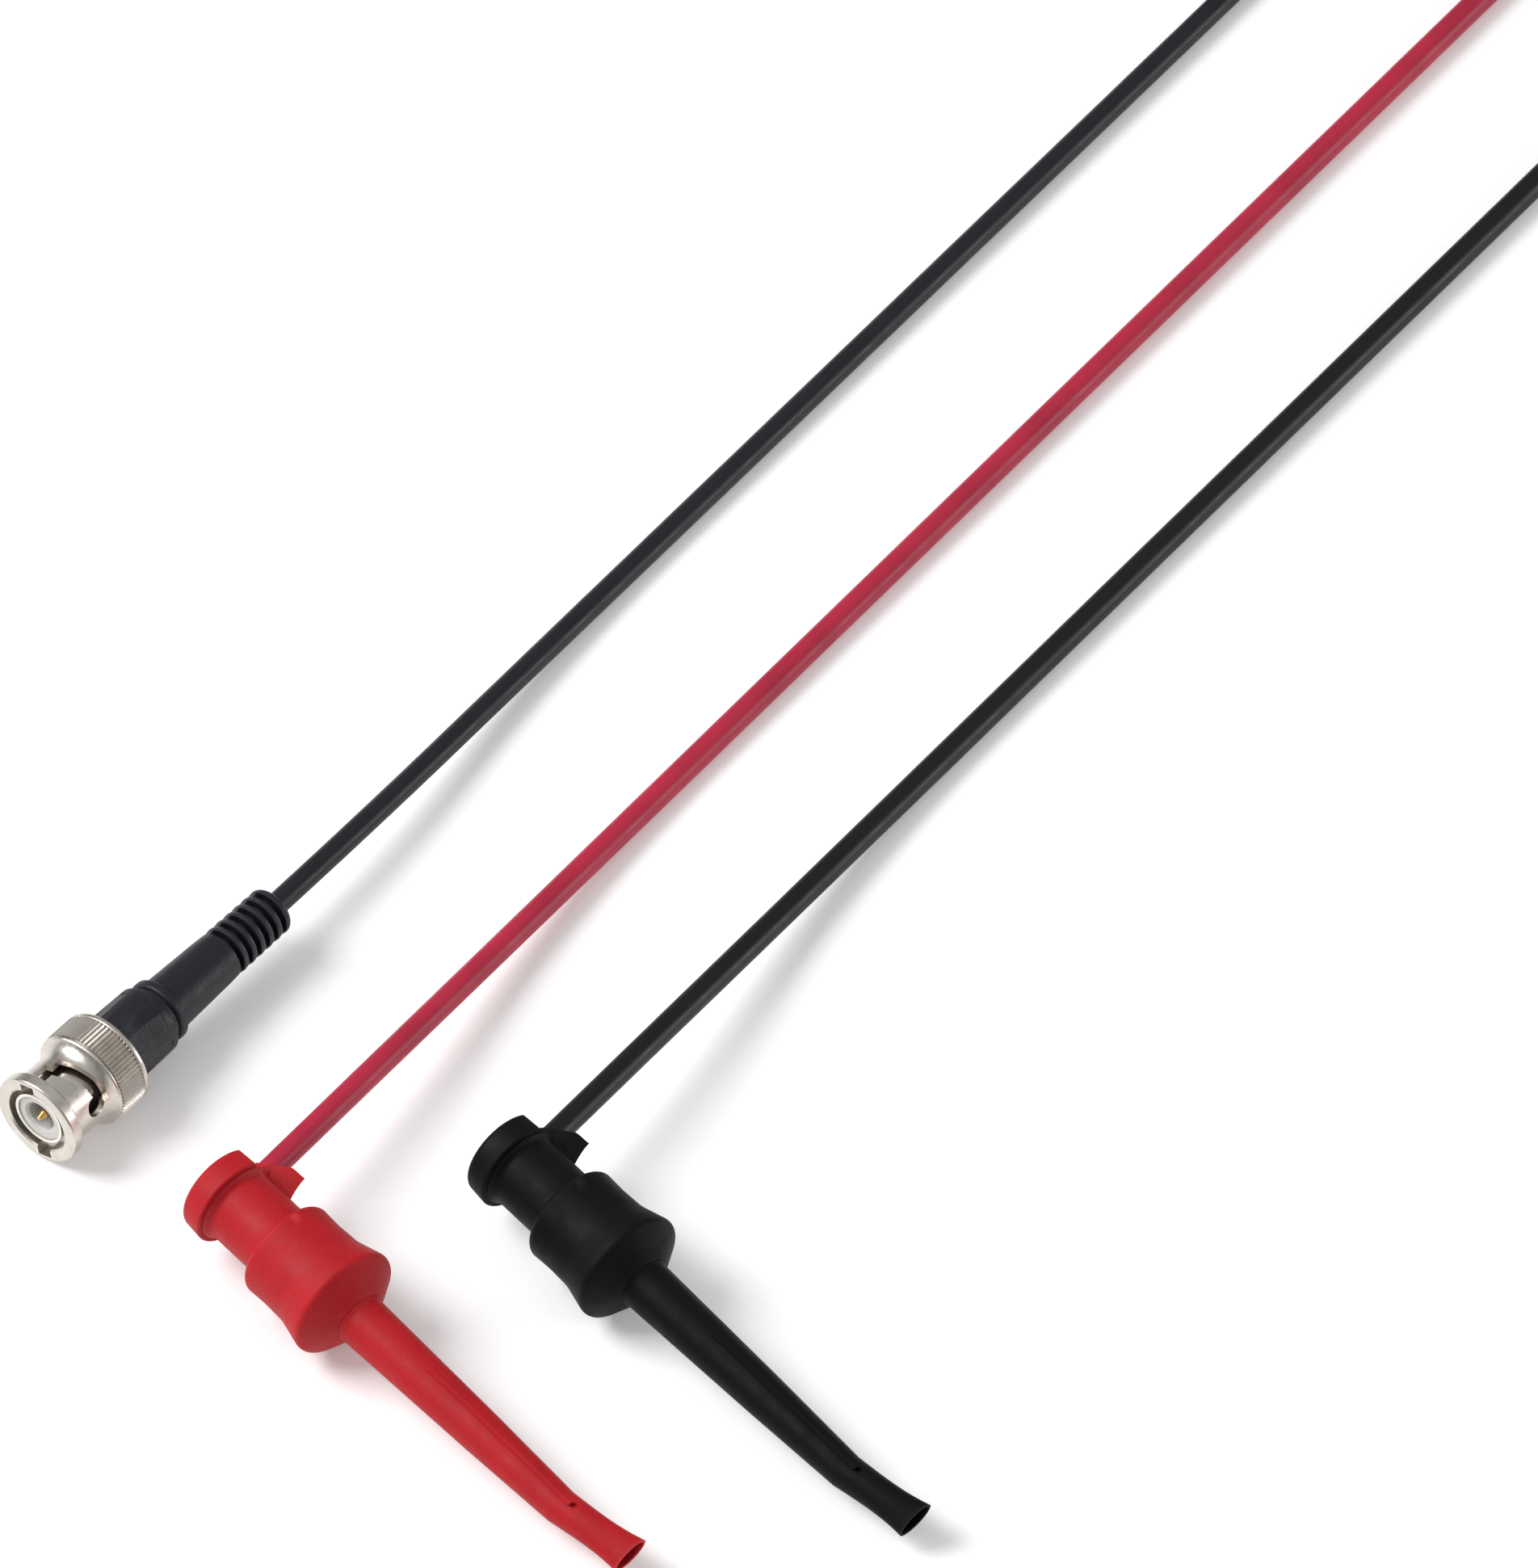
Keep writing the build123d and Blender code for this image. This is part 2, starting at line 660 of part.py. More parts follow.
def clip_terminal():
    """The crimped terminal that joins the conductor to the rod."""
    return tube(-6.9, PLUNGER_WEB[0] - 0.02, 1.3, ROD_RADIUS + 0.01)


def clip_parts(colour, place):
    """Every piece of one hook clip, placed, by node name."""
    plane = clip_plane(place)
    wire = conductor_points(plane)
    pieces = {
        "cap": clip_cap(plane),
        "plunger": clip_plunger(plane),
        "barrel": clip_barrel(),
        "nozzle": clip_nozzle(),
        "hook": clip_hook(),
        "spring": clip_spring(),
        "terminal": clip_terminal(),
        "conductor": round_bar(wire, 0.55),
    }
    return {f"{colour}_{name}": plane.location * piece for name, piece in pieces.items()}


# Cables, splitter and coil ------------------------------------------------------------


def lead_route(place, rest_of_route):
    """A lead's route: out of the clip's boss, down to the bench and on to the splitter."""
    plane = clip_plane(place)
    return [tuple(lead_start(plane, 4.9)), tuple(lead_start(plane, -9)), *rest_of_route]


def splitter_shell(upper):
    """Half of the splitter's shell, parted level with its ports."""
    low = SPLITTER_MIDDLE if upper else BENCH
    high = BENCH + SPLITTER_HEIGHT if upper else SPLITTER_MIDDLE
    side = SPLITTER_WIDTH / 2
    left = SPLITTER_Y - side
    right = SPLITTER_Y + side
    whole = block((SPLITTER_START, left, BENCH), (SPLITTER_END, right, BENCH + SPLITTER_HEIGHT))
    whole = fillet(whole.edges().filter_by(Axis.Z), 3.0)
    whole = fillet(whole.edges().group_by(Axis.Z)[-1], 1.5)
    cavity_low = (SPLITTER_START + 3.2, left + 1.5, BENCH + 1.5)
    cavity_high = (SPLITTER_END - 3.2, right - 1.5, BENCH + 6.5)
    whole -= block(cavity_low, cavity_high)
    for offset, start, end, radius in (
        (PORT_OFFSET, SPLITTER_START - 1, SPLITTER_START + 3.3, LEAD_RADIUS),
        (-PORT_OFFSET, SPLITTER_START - 1, SPLITTER_START + 3.3, LEAD_RADIUS),
        (0, SPLITTER_END - 3.3, SPLITTER_END + 1, COAX_RADIUS),
    ):
        whole -= Pos(0, SPLITTER_Y + offset, SPLITTER_MIDDLE) * tube(start, end, radius + PORT_CLEARANCE)
    keep = block((SPLITTER_START - 5, left - 5, low), (SPLITTER_END + 5, right + 5, high))
    return whole & keep


def splitter_parts():
    """The splitter's shell halves, splices and the bare ends that meet in them."""
    y_signal = SPLITTER_Y + 2.6
    y_ground = SPLITTER_Y - 2.6
    z = SPLITTER_MIDDLE
    pieces = {"splitter_base": splitter_shell(False), "splitter_top": splitter_shell(True)}
    for name, y, port in (
        ("signal", y_signal, SPLITTER_Y + PORT_OFFSET),
        ("ground", y_ground, SPLITTER_Y - PORT_OFFSET),
    ):
        splice_start = SPLITTER_START + 9
        splice_end = SPLITTER_END - 8.5
        pieces[f"{name}_splice"] = Pos(0, y, z) * tube(splice_start, splice_end, 1.0, 0.56)
        lead_end = [(SPLITTER_START + 3.4, port, z), (splice_start - 2, y, z), (splice_start + 3, y, z)]
        pieces[f"{name}_lead_end"] = round_bar(lead_end, 0.5, [1.5])
        bend = SPLITTER_Y + (0.7 if y > SPLITTER_Y else -0.7)
        coax_end = [(SPLITTER_END - 3.4, bend, z), (splice_end + 2, y, z), (splice_end - 3, y, z)]
        pieces[f"{name}_coax_end"] = round_bar(coax_end, 0.5, [1.5])
    return pieces


def coil_section(margin):
    """The coil's rounded outline, two turns wide and two high, at the coil's middle radius."""
    middle = (COIL_OUTER_TURN + COIL_INNER_TURN) / 2
    width = COIL_OUTER_TURN - COIL_INNER_TURN + 2 * COAX_RADIUS + 2 * COIL_MARGIN
    height = 4 * COAX_RADIUS + COIL_MARGIN
    level = BENCH + COIL_LIFT + height / 2
    outline = RectangleRounded(width + 2 * margin, height + 2 * margin, 1.5 + margin)
    return Plane(origin=(middle, 0, level), x_dir=(1, 0, 0), z_dir=(0, -1, 0)) * outline


def coil_parts():
    """The tied coil of spare coax, and its hook-and-loop tie."""
    coil = revolve(coil_section(0), Axis.Z)
    band = revolve(coil_section(COIL_LIFT - 0.02) - coil_section(0.05), Axis.Z, 26)
    tie = Rotation(0, 0, 50) * band
    return {"coax_coil": Pos(COIL_X, COIL_Y, 0) * coil, "coil_tie": Pos(COIL_X, COIL_Y, 0) * tie}


def cable_parts():
    """The jackets that run free: the coax on both sides of its coil, and the two leads."""
    return {
        "coax_cable": cable("coax_cable", COAX_ROUTE, COAX_RADIUS),
        "coax_tail": cable("coax_tail", TAIL_ROUTE, COAX_RADIUS),
        "red_lead": cable("red_lead", lead_route(RED_CLIP_PLACE, RED_ROUTE_END), LEAD_RADIUS),
        "black_lead": cable("black_lead", lead_route(BLACK_CLIP_PLACE, BLACK_ROUTE_END), LEAD_RADIUS),
    }


os.makedirs("parts", exist_ok=True)
parts = plug_parts()
parts.update(clip_parts("red", RED_CLIP_PLACE))
parts.update(clip_parts("black", BLACK_CLIP_PLACE))
parts.update(splitter_parts())
parts.update(coil_parts())
parts.update(cable_parts())
for node, shape in parts.items():
    export_step(shape, f"parts/{node}.step")
print("nodes", len(parts))
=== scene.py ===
import json
import math

import bmesh
import bpy
from mathutils import Matrix, Vector


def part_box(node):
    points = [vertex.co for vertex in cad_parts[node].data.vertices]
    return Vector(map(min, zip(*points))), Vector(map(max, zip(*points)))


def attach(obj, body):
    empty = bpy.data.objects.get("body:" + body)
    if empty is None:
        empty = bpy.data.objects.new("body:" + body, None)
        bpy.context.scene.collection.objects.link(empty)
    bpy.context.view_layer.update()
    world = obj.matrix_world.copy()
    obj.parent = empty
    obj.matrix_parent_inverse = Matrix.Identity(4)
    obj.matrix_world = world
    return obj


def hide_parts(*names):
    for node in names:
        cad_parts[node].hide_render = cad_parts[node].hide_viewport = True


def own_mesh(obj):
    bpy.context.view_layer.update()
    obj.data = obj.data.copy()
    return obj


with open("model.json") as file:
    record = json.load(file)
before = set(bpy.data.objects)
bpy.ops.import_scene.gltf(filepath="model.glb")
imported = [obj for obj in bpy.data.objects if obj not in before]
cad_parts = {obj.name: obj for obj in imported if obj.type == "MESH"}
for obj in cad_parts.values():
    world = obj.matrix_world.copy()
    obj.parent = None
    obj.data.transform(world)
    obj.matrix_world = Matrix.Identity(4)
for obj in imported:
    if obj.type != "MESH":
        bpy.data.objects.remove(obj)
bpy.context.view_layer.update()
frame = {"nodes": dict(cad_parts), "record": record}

MM = 0.001
NODES = frame["nodes"]
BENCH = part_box("coupling_nut")[0].z

# Colours of the mouldings, jackets and metals, as linear RGB
RED_PLASTIC = (0.420, 0.009, 0.014)
RED_RUBBER = (0.420, 0.018, 0.050)
BLACK_PLASTIC = (0.0042, 0.0042, 0.0046)
BLACK_RUBBER = (0.0045, 0.0045, 0.0050)
NAVY_BLACK = (0.0055, 0.0062, 0.0115)
COAX_GREY = (0.010, 0.0105, 0.014)
NICKEL = (0.640, 0.600, 0.545)
STEEL = (0.360, 0.355, 0.350)
GOLD = (0.780, 0.500, 0.170)
BRASS = (0.620, 0.430, 0.180)
TINNED = (0.520, 0.500, 0.460)
INSULATOR_GREY = (0.520, 0.515, 0.500)
POLYTHENE = (0.700, 0.695, 0.670)


# Materials ----------------------------------------------------------------------------


class Shader:
    """Builds one procedural material around a Principled shader, in the row frame's metres."""

    def __init__(self, name):
        self.material = bpy.data.materials.new(name)
        self.material.use_nodes = True
        self.tree = self.material.node_tree
        self.surface = self.tree.nodes["Principled BSDF"]
        self.place = self.add("ShaderNodeTexCoord").outputs["Object"]

    def add(self, kind, **settings):
        node = self.tree.nodes.new(kind)
        for name, value in settings.items():
            setattr(node, name, value)
        return node

    def link(self, output, target):
        self.tree.links.new(output, target)

    def noise(self, size, detail=3.0, stretch=(1, 1, 1)):
        """Noise whose grain is about size metres, stretched along any axis below 1."""
        mapping = self.add("ShaderNodeMapping")
        mapping.inputs["Scale"].default_value = stretch
        noise = self.add("ShaderNodeTexNoise")
        noise.inputs["Scale"].default_value = 1.0 / size
        noise.inputs["Detail"].default_value = detail
        self.link(self.place, mapping.inputs["Vector"])
        self.link(mapping.outputs["Vector"], noise.inputs["Vector"])
        return noise.outputs["Fac"]

    def ramp(self, value, low, high, low_colour, high_colour):
        """Turn a value into a colour between two stops."""
        ramp = self.add("ShaderNodeValToRGB")
        first, last = ramp.color_ramp.elements
        first.position = low
        last.position = high
        first.color = (*low_colour, 1)
        last.color = (*high_colour, 1)
        self.link(value, ramp.inputs["Fac"])
        return ramp.outputs["Color"]

    def spread(self, value, low, high):
        """Map a 0 to 1 value onto low to high."""
        spread = self.add("ShaderNodeMapRange")
        spread.inputs["From Min"].default_value = 0.3
        spread.inputs["From Max"].default_value = 0.7
        spread.inputs["To Min"].default_value = low
        spread.inputs["To Max"].default_value = high
        self.link(value, spread.inputs["Value"])
        return spread.outputs["Result"]

    def mix(self, share, first, second):
        """Blend two colours, all of the second where share is 1."""
        mix = self.add("ShaderNodeMix", data_type="RGBA")
        self.link(share, mix.inputs["Factor"])
        self.link(first, mix.inputs["A"])
        self.link(second, mix.inputs["B"])
        return mix.outputs["Result"]

    def bump(self, value, depth, below=None):
        """A bump of depth metres, laid over an earlier one."""
        bump = self.add("ShaderNodeBump")
        bump.inputs["Strength"].default_value = 1.0
        bump.inputs["Distance"].default_value = depth
        self.link(value, bump.inputs["Height"])
        if below is not None:
            self.link(below, bump.inputs["Normal"])
        return bump.outputs["Normal"]

    def edges(self, low=0.52, high=0.60):
        """1 on worn edges, 0 elsewhere."""
        pointed = self.add("ShaderNodeNewGeometry").outputs["Pointiness"]
        return self.ramp(pointed, low, high, (0, 0, 0), (1, 1, 1))

    def finish(self, colour, roughness, normal):
        """Join the three to the surface, and give the material."""
        self.link(colour, self.surface.inputs["Base Color"])
        self.link(roughness, self.surface.inputs["Roughness"])
        self.link(normal, self.surface.inputs["Normal"])
        return self.material


def shade(colour, factor):
    """A lighter or darker tone of a colour."""
    return tuple(min(1.0, c * factor) for c in colour)


def moulded(name, colour, worn, grain=0.0002, depth=0.00003, rough=(0.50, 0.64), specular=0.2):
    """A moulded plastic with a fine spark-eroded grain, cloudy tone and slightly polished edges."""
    s = Shader(name)
    cloud = s.noise(0.006, 4.0)
    tone = s.ramp(cloud, 0.3, 0.7, shade(colour, 0.90), shade(colour, 1.10))
    speckle = s.noise(grain * 1.6, 2.0)
    speckle_share = s.spread(speckle, 0.1, 0.4)
    speckle_tone = s.ramp(speckle, 0.4, 0.6, shade(colour, 0.8), shade(colour, 1.25))
    tone = s.mix(speckle_share, tone, speckle_tone)
    rub = s.mix(s.noise(0.0012, 5.0), s.edges(), s.edges(0.56, 0.66))
    worn_tone = s.ramp(cloud, 0.2, 0.8, shade(worn, 0.95), worn)
    tone = s.mix(rub, tone, worn_tone)
    fine = s.bump(s.noise(grain, 3.0), depth)
    normal = s.bump(s.noise(0.004, 2.0), 0.00003, fine)
    s.surface.inputs["Specular IOR Level"].default_value = specular
    return s.finish(tone, s.spread(s.noise(0.003, 4.0), *rough), normal)


def jacket(name, colour, rough=(0.36, 0.48), specular=0.3):
    """A soft cable jacket: smooth, with faint extrusion waviness and dust in its tone."""
    s = Shader(name)
    cloud = s.noise(0.009, 4.0)
    tone = s.ramp(cloud, 0.3, 0.7, shade(colour, 0.88), shade(colour, 1.12))
    fine = s.bump(s.noise(0.00035, 2.0), 0.000004)
    normal = s.bump(s.noise(0.0045, 2.0), 0.00002, fine)
    s.surface.inputs["Specular IOR Level"].default_value = specular
    return s.finish(tone, s.spread(s.noise(0.004, 4.0), *rough), normal)


def metal(name, colour, rough=(0.26, 0.40), turning=0.00012, depth=0.0000012):
    """A plated metal with fine lines turned round X, faint tarnish and brighter edges."""
    s = Shader(name)
    cloud = s.noise(0.002, 5.0)
    tone = s.ramp(cloud, 0.3, 0.7, shade(colour, 0.90), shade(colour, 1.06))
    bright = s.ramp(cloud, 0.2, 0.8, shade(colour, 1.10), shade(colour, 1.20))
    tone = s.mix(s.edges(), tone, bright)
    lines = s.noise(turning, 2.0, (1, 0.02, 0.02))
    normal = s.bump(lines, depth, s.bump(s.noise(0.0007, 2.0), 0.0000015))
    s.surface.inputs["Metallic"].default_value = 1.0
    return s.finish(tone, s.spread(s.noise(0.0008, 5.0), *rough), normal)


RED_CLIP = moulded("red_moulding", RED_PLASTIC, (0.58, 0.035, 0.040))
BLACK_CLIP = moulded("black_moulding", BLACK_PLASTIC, (0.014, 0.014, 0.015), specular=0.1)
PLUG_MOULDING = moulded("plug_moulding", NAVY_BLACK, (0.022, 0.023, 0.030), grain=0.00032,
                        depth=0.00006, rough=(0.40, 0.52), specular=0.4)
NICKEL_PLATE = metal("nickel_plate", NICKEL)
BRIGHT_NICKEL = metal("bright_nickel", shade(NICKEL, 1.08), rough=(0.16, 0.26))
SPRING_STEEL = metal("spring_steel", STEEL, rough=(0.2, 0.34))
GOLD_PLATE = metal("gold_plate", GOLD, rough=(0.14, 0.26))
BRASS_METAL = metal("brass_metal", BRASS)
TINNED_COPPER = metal("tinned_copper", TINNED, rough=(0.3, 0.5))
INSULATOR = moulded("insulator_moulding", INSULATOR_GREY, shade(INSULATOR_GREY, 1.25), rough=(0.38, 0.5))
DIELECTRIC = moulded("dielectric_core", POLYTHENE, shade(POLYTHENE, 1.05))
GASKET = moulded("gasket_rubber", (0.02, 0.02, 0.02), (0.04, 0.04, 0.04))
TIE_TAPE = moulded("tie_tape", (0.010, 0.010, 0.011), (0.03, 0.03, 0.03), grain=0.0006,
                   depth=0.0002, rough=(0.8, 0.95))
COAX_JACKET = jacket("coax_jacket", COAX_GREY)
RED_JACKET = jacket("red_jacket", RED_RUBBER)
BLACK_JACKET = jacket("black_jacket", BLACK_RUBBER)

MATERIALS = {
    "nickel": NICKEL_PLATE,
    "nickel_bright": BRIGHT_NICKEL,
    "spring_steel": SPRING_STEEL,
    "gasket_rubber": GASKET,
    "insulator": INSULATOR,
    "gold": GOLD_PLATE,
    "tinned_copper": TINNED_COPPER,
    "dielectric": DIELECTRIC,
    "boot_black": PLUG_MOULDING,
    "coax_jacket": COAX_JACKET,
    "tie": TIE_TAPE,
    "red_clip": RED_CLIP,
    "black_clip": BLACK_CLIP,
    "red_jacket": RED_JACKET,
    "black_jacket": BLACK_JACKET,
    "hook_wire": GOLD_PLATE,
    "brass": BRASS_METAL,
}

for part in frame["record"]["subparts"]:
    mesh = NODES[part["node"]].data
    mesh.materials.clear()
    mesh.materials.append(MATERIALS[part["material_slot"]])


# Cables -------------------------------------------------------------------------------

COAX_DIAMETER = 3.25 * MM
LEAD_DIAMETER = 3.5 * MM
COAX_FLOOR = BENCH + COAX_DIAMETER / 2
LEAD_FLOOR = BENCH + LEAD_DIAMETER / 2
SPLITTER_MIDDLE = BENCH + 4 * MM
COIL_CENTRE = (288.0 * MM, 29.8 * MM)
COIL_OUTER = 19.2 * MM
COIL_INNER = 15.9 * MM
COIL_LOW = COAX_FLOOR + 0.5 * MM
COIL_HIGH = COIL_LOW + 3.3 * MM
COIL_TURNS = 4
POINTS_PER_TURN = 16

# Where the coil changes ring or layer, in turns from its start
STEP_IN = (0.85, 1.15)
STEP_UP = (1.85, 2.15)
STEP_OUT = (2.85, 3.15)


def route(points):
    """Route points in metres, from X and Y in millimetres and Z in metres."""
    return [Vector((x * MM, y * MM, z)) for x, y, z in points]


def ease(value, start, end):
    """0 before start, 1 after end, smooth between."""
    t = min(1.0, max(0.0, (value - start) / (end - start)))
    return t * t * (3 - 2 * t)


def coil_points():
    """Turns of the coil: out on the bench, in, up a layer, and out again."""
    points = []
    for step in range(COIL_TURNS * POINTS_PER_TURN + 1):
        turn = step / POINTS_PER_TURN
        inward = ease(turn, *STEP_IN) - ease(turn, *STEP_OUT)
        upward = ease(turn, *STEP_UP)
        radius = COIL_OUTER + (COIL_INNER - COIL_OUTER) * inward
        angle = math.tau * (turn - 0.25)
        x = COIL_CENTRE[0] + radius * math.cos(angle)
        y = COIL_CENTRE[1] + radius * math.sin(angle)
        points.append(Vector((x, y, COIL_LOW + (COIL_HIGH - COIL_LOW) * upward)))
    return points


def cable(name, points, diameter, material):
    """A round jacket along a smooth spline whose control points are the route's."""
    curve = bpy.data.curves.new(name, "CURVE")
    curve.dimensions = "3D"
    spline = curve.splines.new("NURBS")
    spline.points.add(len(points) - 1)
    for target, point in zip(spline.points, points):
        target.co = (*point, 1)
    spline.order_u = 3
    spline.use_endpoint_u = True
    spline.resolution_u = 10
    curve.bevel_depth = diameter / 2
    curve.bevel_resolution = 8
    curve.use_fill_caps = True
    curve.materials.append(material)
    piece = bpy.data.objects.new(name, curve)
    bpy.context.scene.collection.objects.link(piece)
    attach(piece, "root")
    return piece


# Route points, with X and Y in millimetres and Z in metres

COAX_START = [
    (23.4, 0, 0),
    (60, 0, 0),
    (113.7, 4.9, COAX_FLOOR),
    (167.8, 6.7, COAX_FLOOR),
    (280.5, 10.4, COAX_FLOOR + 0.2 * MM),
]
COAX_TAIL = [
    (309, 10.8, -4.0 * MM),
    (330, 10.3, COAX_FLOOR),
    (349.8, 10.1, COAX_FLOOR),
    (366.3, 10, COAX_FLOOR),
    (378, -1.7, COAX_FLOOR),
    (378, -18.3, COAX_FLOOR),
    (366.3, -30, -4.2 * MM),
    (351.5, -30, SPLITTER_MIDDLE),
]
RED_ROUTE = [
    (7.62, -31.71, 3.21 * MM),
    (21.51, -31.2, 3.21 * MM),
    (82.3, -24.4, LEAD_FLOOR),
    (144.1, -22.1, LEAD_FLOOR),
    (284.1, -17.0, LEAD_FLOOR),
    (300, -16.4, LEAD_FLOOR),
    (314, -24.6, LEAD_FLOOR + 1.2 * MM),
    (329, -26, SPLITTER_MIDDLE),
]
BLACK_ROUTE = [
    (36.93, -56.96, 3.21 * MM),
    (50.82, -56.45, 3.21 * MM),
    (111.6, -49.7, LEAD_FLOOR),
    (173.4, -47.4, LEAD_FLOOR),
    (283.8, -43.4, LEAD_FLOOR),
    (300, -42.8, LEAD_FLOOR),
    (314, -35.4, LEAD_FLOOR + 1.2 * MM),
    (329, -34, SPLITTER_MIDDLE),
]

coax_points = route(COAX_START) + coil_points() + route(COAX_TAIL)
coax = cable("coax", coax_points, COAX_DIAMETER, COAX_JACKET)
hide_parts("coax_cable", "coax_coil", "coax_tail")

for colour, points, mouth, length, material in (
    ("red", RED_ROUTE, (12.52, -31.53, 3.21), 0.323, RED_JACKET),
    ("black", BLACK_ROUTE, (41.83, -56.78, 3.21), 0.294, BLACK_JACKET),
):
    lead = cable(f"{colour}_test_lead", route(points), LEAD_DIAMETER, material)
    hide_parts(f"{colour}_lead")


# Springs: the clips' return springs and the plug's dished spring washer ------------------

WEB_FRONT = -3.0 * MM
BARREL_FLOOR = 9.5 * MM
SPRING_RADIUS = 2.4 * MM
SPRING_WIRE = 0.3 * MM
SPRING_GAP = 0.05 * MM
SPRING_TURNS = 9
SPRING_STEPS_PER_TURN = 24
WIRE_SIDES = 8
CLIP_DIP = math.radians(4.5)
CLIP_TURN = math.radians(-98.35)
FLANGE_RADIUS = 8.41 * MM
FLANGE_PLACE = 12.5 * MM
WASHER_PROFILE = ((10.75, 4.6), (11.45, 5.75), (11.75, 5.75), (11.05, 4.6))
WASHER_SIDES = 64


def mesh_piece(name, shape, material):
    """Turn a bmesh into a smooth piece in the scene."""
    mesh = bpy.data.meshes.new(name)
    bmesh.ops.recalc_face_normals(shape, faces=shape.faces)
    shape.to_mesh(mesh)
    shape.free()
    mesh.materials.append(material)
    mesh.shade_smooth()
    piece = bpy.data.objects.new(name, mesh)
    bpy.context.scene.collection.objects.link(piece)
    return piece


def joined_rings(rings, endless=False):
    """Skin closed rings of points one after another, then cap both ends or join them."""
    shape = bmesh.new()
    rows = [[shape.verts.new(point) for point in ring] for ring in rings]
    count = len(rows[0])
    last = rows[:1] if endless else []
    for row, after in zip(rows, rows[1:] + last):
        for i in range(count):
            j = (i + 1) % count
            shape.faces.new((row[i], row[j], after[j], after[i]))
    if not endless:
        shape.faces.new(rows[0])
        shape.faces.new(rows[-1])
    return shape


def spring_shape(clip):
    """A helical spring between the plunger's web and the barrel's floor, in a clip's frame."""
    low = WEB_FRONT + SPRING_WIRE + SPRING_GAP
    high = BARREL_FLOOR - SPRING_WIRE - SPRING_GAP
    steps = SPRING_TURNS * SPRING_STEPS_PER_TURN
    rings = []
    for step in range(steps + 1):
        angle = math.tau * SPRING_TURNS * step / steps
        outward = Vector((0, math.cos(angle), math.sin(angle)))
        middle = Vector((low + (high - low) * step / steps, 0, 0)) + outward * SPRING_RADIUS
        ring = []
        for i in range(WIRE_SIDES):
            turn = math.tau * i / WIRE_SIDES
            rim = outward * math.cos(turn) + Vector((1, 0, 0)) * math.sin(turn)
            ring.append(clip @ (middle + rim * SPRING_WIRE))
        rings.append(ring)
    return joined_rings(rings)


def clip_frame(place):
    """The clip's frame: X to its tip, Y to its lead's side, with its flange on the bench."""
    level = math.cos(CLIP_DIP)
    fall = math.sin(CLIP_DIP)
    along = Vector((math.cos(CLIP_TURN) * level, math.sin(CLIP_TURN) * level, -fall))
    side = Vector((-math.sin(CLIP_TURN), math.cos(CLIP_TURN), 0))
    height = BENCH + FLANGE_RADIUS * level + FLANGE_PLACE * fall
    turned = Matrix((along, side, along.cross(side))).transposed().to_4x4()
    return Matrix.Translation((place[0] * MM, place[1] * MM, height)) @ turned


for colour, place in (("red", (3.04, -41.0)), ("black", (32.35, -66.25))):
    local = clip_frame(place)
    spring = mesh_piece(f"{colour}_return_spring", spring_shape(local), SPRING_STEEL)
    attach(spring, "root")
    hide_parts(f"{colour}_spring")
    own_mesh(spring)


def ring_round_plug(x, radius):
    """A ring of points round the plug's axis, from millimetres."""
    turns = [math.tau * i / WASHER_SIDES for i in range(WASHER_SIDES)]
    return [Vector((x, radius * math.cos(a), radius * math.sin(a))) * MM for a in turns]


washer_rings = [ring_round_plug(x, radius) for x, radius in WASHER_PROFILE]
washer = mesh_piece("dished_spring_washer", joined_rings(washer_rings, endless=True), SPRING_STEEL)
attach(washer, "root")
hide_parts("spring_washer")
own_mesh(washer)


# Stage, light and camera --------------------------------------------------------------


def floor():
    """A wide sheet of pale paper on the bench."""
    mesh = bpy.data.meshes.new("bench")
    shape = bmesh.new()
    bmesh.ops.create_grid(shape, x_segments=2, y_segments=2, size=3.0)
    shape.to_mesh(mesh)
    shape.free()
    piece = bpy.data.objects.new("bench", mesh)
    piece.location = (0.12, -0.03, BENCH - 0.00002)
    bpy.context.scene.collection.objects.link(piece)
    s = Shader("bench_paper")
    tone = s.ramp(s.noise(0.05, 3.0), 0.3, 0.7, (0.86, 0.86, 0.86), (0.88, 0.88, 0.88))
    s.link(tone, s.surface.inputs["Emission Color"])
    s.surface.inputs["Emission Strength"].default_value = 0.25
    s.surface.inputs["Specular IOR Level"].default_value = 0.1
    s.finish(tone, s.spread(s.noise(0.02), 0.7, 0.8), s.bump(s.noise(0.0006), 0.00001))
    mesh.materials.append(s.material)


def area_light(name, place, target, size, power):
    """A soft box at a place, turned towards its target."""
    light = bpy.data.lights.new(name, "AREA")
    light.shape = "RECTANGLE"
    light.size, light.size_y = size
    light.energy = power
    lamp = bpy.data.objects.new(name, light)
    lamp.location = place
    lamp.rotation_euler = (Vector(target) - Vector(place)).to_track_quat("-Z", "Y").to_euler()
    bpy.context.scene.collection.objects.link(lamp)


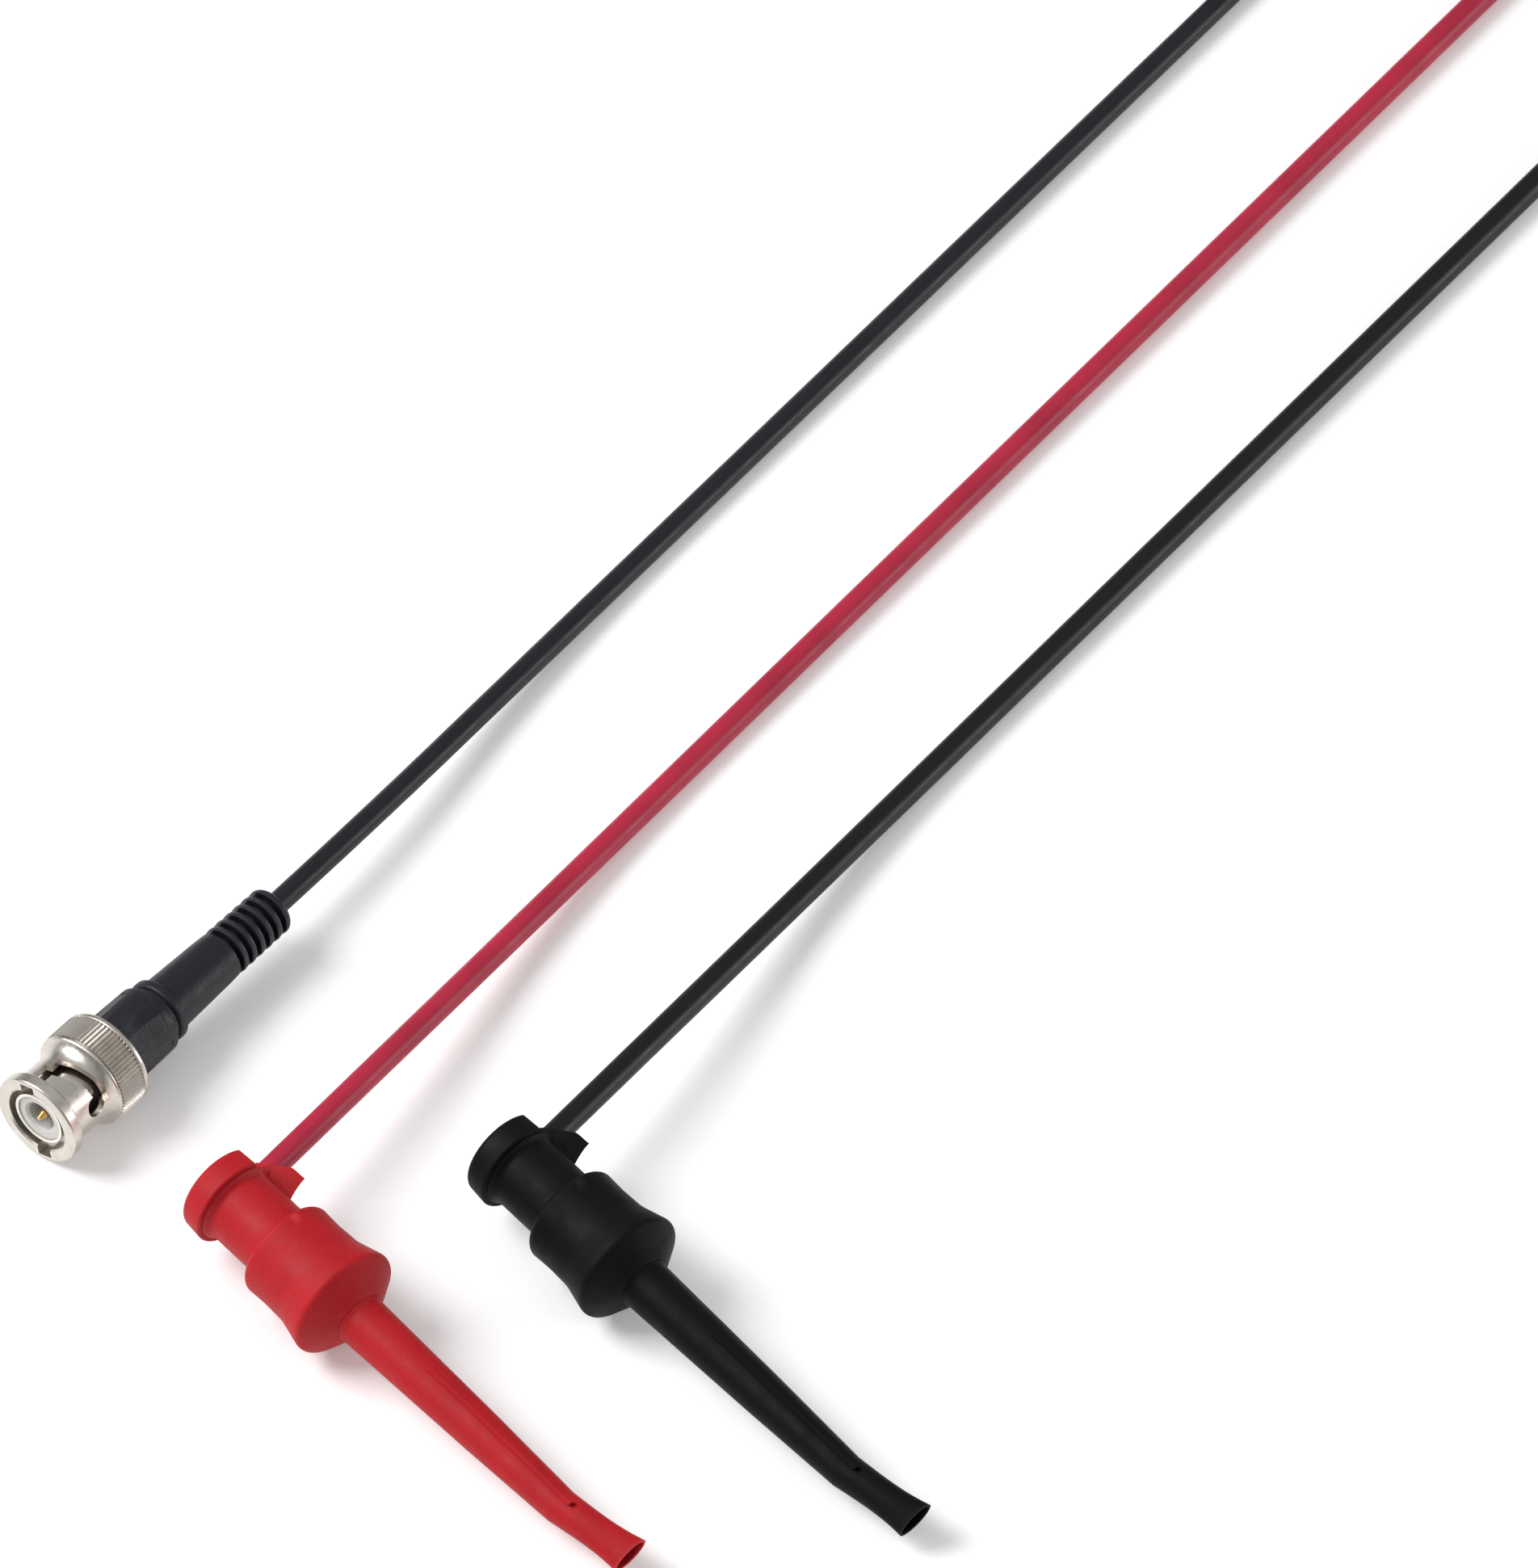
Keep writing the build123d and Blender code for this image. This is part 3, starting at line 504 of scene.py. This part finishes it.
TARGET = Vector((114.3, -32.9, -7.25)) * MM
VIEW_HEADING = math.radians(40.0)
VIEW_ELEVATION = math.radians(49.0)
VIEW_DISTANCE = 9.0
FRAME_WIDTH = 208.1 * MM
SENSOR = 18.0


def camera():
    """A long lens looking down at 49 degrees, over the plug's mouth and the clips' tips."""
    data = bpy.data.cameras.new("camera")
    data.sensor_width = SENSOR
    data.sensor_fit = "HORIZONTAL"
    data.lens = SENSOR * VIEW_DISTANCE / FRAME_WIDTH
    data.clip_start = 0.05
    data.clip_end = 20.0
    view = Vector((
        math.cos(VIEW_HEADING) * math.cos(VIEW_ELEVATION),
        math.sin(VIEW_HEADING) * math.cos(VIEW_ELEVATION),
        -math.sin(VIEW_ELEVATION),
    ))
    eye = bpy.data.objects.new("camera", data)
    eye.location = TARGET - view * VIEW_DISTANCE
    eye.rotation_euler = view.to_track_quat("-Z", "Y").to_euler()
    bpy.context.scene.collection.objects.link(eye)
    bpy.context.scene.camera = eye


def world_light():
    """A soft studio surround, bright overhead and dimmer low down."""
    world = bpy.data.worlds.new("studio")
    bpy.context.scene.world = world
    world.use_nodes = True
    tree = world.node_tree
    background = tree.nodes["Background"]
    place = tree.nodes.new("ShaderNodeTexCoord")
    split = tree.nodes.new("ShaderNodeSeparateXYZ")
    ramp = tree.nodes.new("ShaderNodeValToRGB")
    ramp.color_ramp.elements[0].position = 0.0
    ramp.color_ramp.elements[0].color = (0.10, 0.10, 0.10, 1)
    ramp.color_ramp.elements[1].position = 0.85
    ramp.color_ramp.elements[1].color = (1.0, 1.0, 1.0, 1)
    tree.links.new(place.outputs["Generated"], split.inputs["Vector"])
    tree.links.new(split.outputs["Z"], ramp.inputs["Fac"])
    tree.links.new(ramp.outputs["Color"], background.inputs["Color"])
    background.inputs["Strength"].default_value = 0.55


floor()
world_light()
area_light("key", (-0.40, 0.60, 0.80), TARGET, (0.6, 0.6), 12.0)
area_light("fill", (0.72, -0.78, 0.20), TARGET, (0.5, 0.3), 3.0)
camera()
bpy.context.scene.view_settings.view_transform = "Standard"
